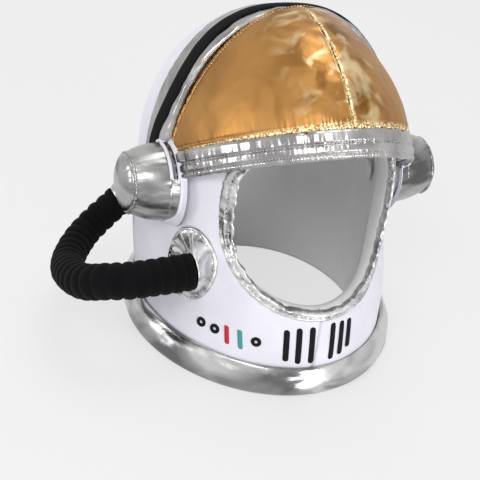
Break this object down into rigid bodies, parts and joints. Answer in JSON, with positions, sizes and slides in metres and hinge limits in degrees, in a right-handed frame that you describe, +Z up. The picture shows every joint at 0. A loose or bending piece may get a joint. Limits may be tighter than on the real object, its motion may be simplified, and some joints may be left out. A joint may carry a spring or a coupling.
{
  "type": "astronaut costume helmet",
  "caption": "Soft padded child's astronaut hood with a turning gold cloth visor, silver trim, ear pods, a ribbed black hose on its right side and a padded neck roll.",
  "frame": {"origin": "centre of the neck opening, on the plane that the neck roll rests on", "axes": "+Z up; the face opening faces -Y; +X to the wearer's left"},
  "size_m": [0.3031, 0.2388, 0.26],
  "materials": {
    "white_velour": "short soft pile, matt, faint cool tint",
    "white_lining": "plain matt weave",
    "silver_cloth": "crinkled metallic cloth with topstitching",
    "gold_cloth": "crinkled metallic cloth with gathered, topstitched edges",
    "black_velvet": "deep matt pile over ribs",
    "black_ribbon": "matt woven ribbon",
    "black_thread": "raised satin stitch",
    "red_thread": "raised satin stitch",
    "teal_thread": "raised satin stitch",
    "padding": "open soft foam and fibre filling, hidden",
    "white_plastic": "plain moulded plastic",
    "eyelet_metal": "pressed metal eyelet"
  },
  "bodies": {
    "shell": {"cover_left": "white_velour", "cover_right": "white_velour", "foam_collar_left": "padding", "foam_collar_right": "padding", "foam_side_left": "padding", "foam_side_right": "padding", "foam_crown_left": "padding", "foam_crown_right": "padding", "shell_lining": "white_lining", "face_binding": "silver_cloth", "neck_ring_cover": "silver_cloth", "neck_ring_core": "padding", "crown_band": "silver_cloth", "crown_ribbon": "black_ribbon", "front_bars": "black_thread", "indicator_rings": "black_thread", "red_bar": "red_thread", "teal_bar": "teal_thread", "pivot_stud_left": "white_plastic", "pivot_stud_right": "white_plastic", "pod_plate_left": "white_plastic", "pod_plate_right": "white_plastic", "pod_wall_left": "silver_cloth", "pod_wall_right": "silver_cloth", "pod_core_left": "padding", "pod_core_right": "padding", "pod_cap_left": "silver_cloth", "pod_cap_right": "silver_cloth", "pod_piping_left": "silver_cloth", "pod_piping_right": "silver_cloth", "pod_welt_left": "white_velour", "pod_welt_right": "white_velour", "hose_boss_front": "silver_cloth", "hose_boss_rear": "silver_cloth", "hose_cover": "black_velvet", "hose_core": "padding"},
    "visor": {"visor_panel_left": "gold_cloth", "visor_panel_right": "gold_cloth", "visor_foam": "padding", "visor_lining": "white_lining", "brim_band": "silver_cloth", "brim_roll": "silver_cloth", "brim_cord": "padding", "visor_ear_left": "white_lining", "visor_ear_right": "white_lining", "visor_eyelet_left": "eyelet_metal", "visor_eyelet_right": "eyelet_metal"}
  },
  "joints": [
    {"name": "visor_hinge", "type": "hinge", "parent": "shell", "child": "visor", "pos_m": [0, 0, 0.126], "axis": [1, 0, 0], "range_deg": [0, 45]}
  ]
}
